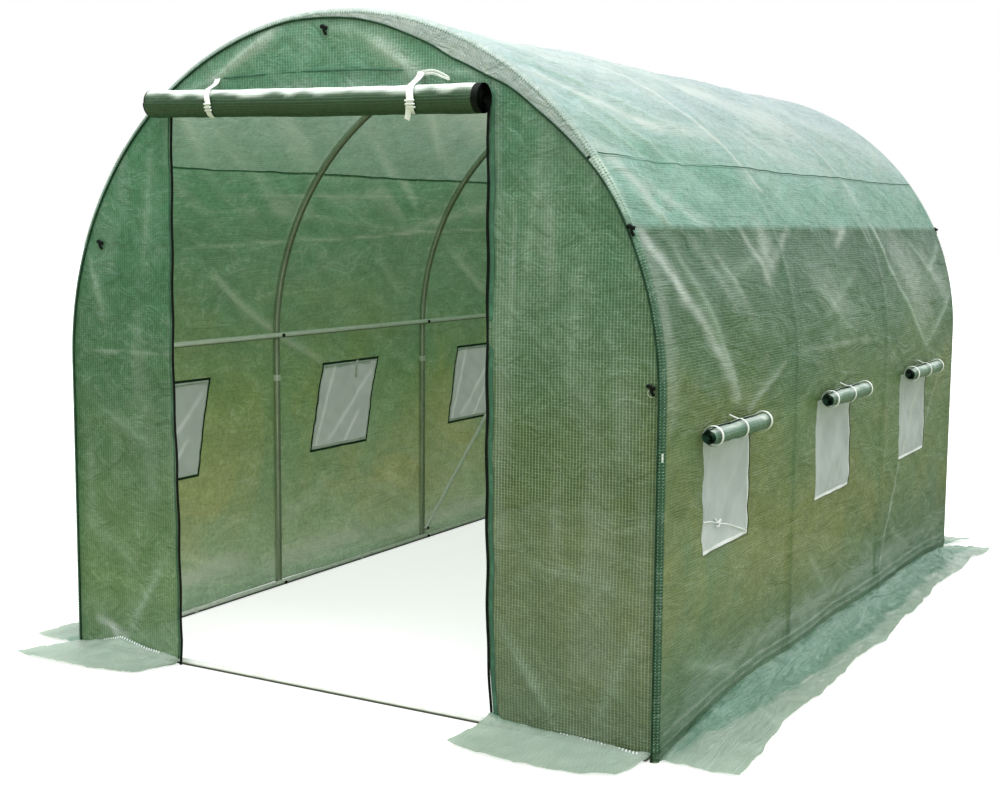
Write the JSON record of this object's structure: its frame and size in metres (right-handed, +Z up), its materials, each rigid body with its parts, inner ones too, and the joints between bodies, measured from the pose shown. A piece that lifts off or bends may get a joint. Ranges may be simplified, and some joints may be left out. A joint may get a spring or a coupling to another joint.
{
  "type": "walk-in hoop greenhouse",
  "caption": "Walk-in tunnel greenhouse of bent steel tube hoops under a green reinforced film cover, with a rolled-up door and rolled-up net windows.",
  "frame": {"origin": "on the ground in the middle of the tunnel, under the ridge", "axes": "+Y along the tunnel from the door end to the closed end, +X to the right of a person facing the door, +Z up"},
  "size_m": [2.4096, 3.4096, 1.9448],
  "materials": {
    "galvanised_tube": "galvanised",
    "green_film": "woven-reinforced, translucent",
    "white_net": "fine net",
    "white_webbing": "webbing",
    "black_fixing": "satin"
  },
  "bodies": {
    "root": {"left_posts": "galvanised_tube", "right_posts": "galvanised_tube", "front_arch": "galvanised_tube", "second_arch": "galvanised_tube", "third_arch": "galvanised_tube", "rear_arch": "galvanised_tube", "left_purlin": "galvanised_tube", "right_purlin": "galvanised_tube", "ridge_bar": "galvanised_tube", "left_ground_bar": "galvanised_tube", "right_ground_bar": "galvanised_tube", "front_ground_bar": "galvanised_tube", "rear_ground_bar": "galvanised_tube", "left_brace": "galvanised_tube", "right_brace": "galvanised_tube", "frame_screws": "black_fixing", "left_side_cover": "green_film", "right_side_cover": "green_film", "roof_cover": "green_film", "front_left_panel": "green_film", "front_right_panel": "green_film", "front_gable": "green_film", "rear_panel": "green_film", "left_skirt": "green_film", "right_skirt": "green_film", "front_left_skirt": "green_film", "front_right_skirt": "green_film", "rear_skirt": "green_film", "door_roll": "green_film", "door_roll_ties": "white_webbing", "door_zips": "black_fixing", "left_window_net_1": "white_net", "left_window_net_2": "white_net", "left_window_net_3": "white_net", "right_window_net_1": "white_net", "right_window_net_2": "white_net", "right_window_net_3": "white_net", "left_window_roll_1": "green_film", "left_window_roll_2": "green_film", "left_window_roll_3": "green_film", "right_window_roll_1": "green_film", "right_window_roll_2": "green_film", "right_window_roll_3": "green_film", "window_roll_ties": "white_webbing", "frame_ties": "white_webbing"}
  },
  "joints": []
}
